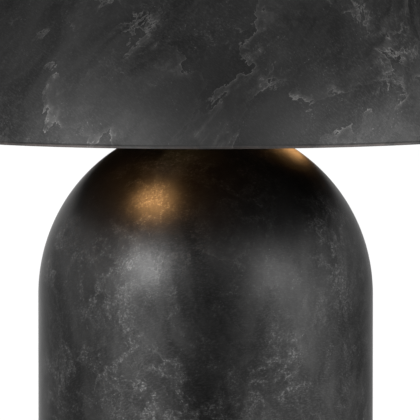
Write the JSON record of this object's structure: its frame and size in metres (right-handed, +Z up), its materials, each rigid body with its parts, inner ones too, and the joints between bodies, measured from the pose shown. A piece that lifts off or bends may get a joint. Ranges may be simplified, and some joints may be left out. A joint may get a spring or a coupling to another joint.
{
  "type": "table lamp",
  "caption": "Table lamp with a blackened domed cylinder body, a wide rigid dome shade in the same metal, and two horizontal lampholders.",
  "frame": {"origin": "centre of the footprint, on the surface that the lamp stands on", "axes": "+Z up along the lamp's axis; -Y is the front; the cord inlet is at +Y"},
  "size_m": [0.4202, 0.4202, 0.5267],
  "materials": {
    "patina": "blackened, mottled patina under a satin wax",
    "dark_brass": "darkened",
    "brass": "plain turned",
    "zinc": "zinc plated",
    "steel": "black",
    "iron": "as cast",
    "felt": "pressed felt",
    "fibre": "vulcanised fibre",
    "phenolic": "moulded",
    "nylon": "moulded",
    "opal_glass": "white coated inside"
  },
  "bodies": {
    "stand": {"body_shell": "patina", "neck_cap": "dark_brass", "neck_tube": "dark_brass", "cluster_body": "dark_brass", "cluster_cover": "dark_brass", "shade_rod": "dark_brass", "rod_collar": "dark_brass", "arm_nipple_a": "brass", "arm_nipple_b": "brass", "arm_nut_a": "brass", "arm_nut_b": "brass", "arm_collar_a": "brass", "arm_collar_b": "brass", "socket_cap_a": "brass", "socket_cap_b": "brass", "socket_shell_a": "brass", "socket_shell_b": "brass", "screw_shell_a": "brass", "screw_shell_b": "brass", "contact_tab_a": "brass", "contact_tab_b": "brass", "cover_screw_a": "brass", "cover_screw_b": "brass", "rod_locknut": "brass", "seat_nut": "brass", "shade_seat": "brass", "bottom_washer": "zinc", "bottom_nut": "zinc", "ballast_washer": "zinc", "ballast_nut": "zinc", "lamp_pipe": "zinc", "pipe_locknut": "zinc", "base_plate": "steel", "ballast_ring": "iron", "rest_pad": "felt", "dome_gasket": "fibre", "socket_sleeve_a": "fibre", "socket_sleeve_b": "fibre", "switch_body_a": "phenolic", "switch_body_b": "phenolic", "inlet_bushing": "nylon", "inlet_locknut": "nylon"},
    "shade": {"shade_shell": "patina", "shade_cap": "patina"},
    "finial": {"finial": "patina"},
    "switch_a": {"switch_stem_a": "brass", "switch_knob_a": "phenolic"},
    "bulb_a": {"bulb_base_a": "zinc", "bulb_insulator_a": "phenolic", "bulb_contact_a": "zinc", "bulb_glass_a": "opal_glass"},
    "switch_b": {"switch_stem_b": "brass", "switch_knob_b": "phenolic"},
    "bulb_b": {"bulb_base_b": "zinc", "bulb_insulator_b": "phenolic", "bulb_contact_b": "zinc", "bulb_glass_b": "opal_glass"}
  },
  "joints": [
    {"name": "shade_lift", "type": "slide", "parent": "stand", "child": "shade", "axis": [0, 0, 1], "range_m": [0, 0.24]},
    {"name": "finial_turn", "type": "hinge", "parent": "shade", "child": "finial", "pos_m": [0, 0, 0.5155], "axis": [0, 0, 1], "continuous": true},
    {"name": "switch_turn_a", "type": "hinge", "parent": "stand", "child": "switch_a", "pos_m": [-0.02924, -0.03743, 0.3358], "axis": [0.788, -0.6157, 0], "continuous": true},
    {"name": "bulb_screw_a", "type": "hinge", "parent": "stand", "child": "bulb_a", "pos_m": [-0.06157, -0.0788, 0.3358], "axis": [-0.6157, -0.788, 0], "continuous": true},
    {"name": "switch_turn_b", "type": "hinge", "parent": "stand", "child": "switch_b", "pos_m": [0.02924, 0.03743, 0.3358], "axis": [-0.788, 0.6157, 0], "continuous": true},
    {"name": "bulb_screw_b", "type": "hinge", "parent": "stand", "child": "bulb_b", "pos_m": [0.06157, 0.0788, 0.3358], "axis": [0.6157, 0.788, 0], "continuous": true}
  ]
}
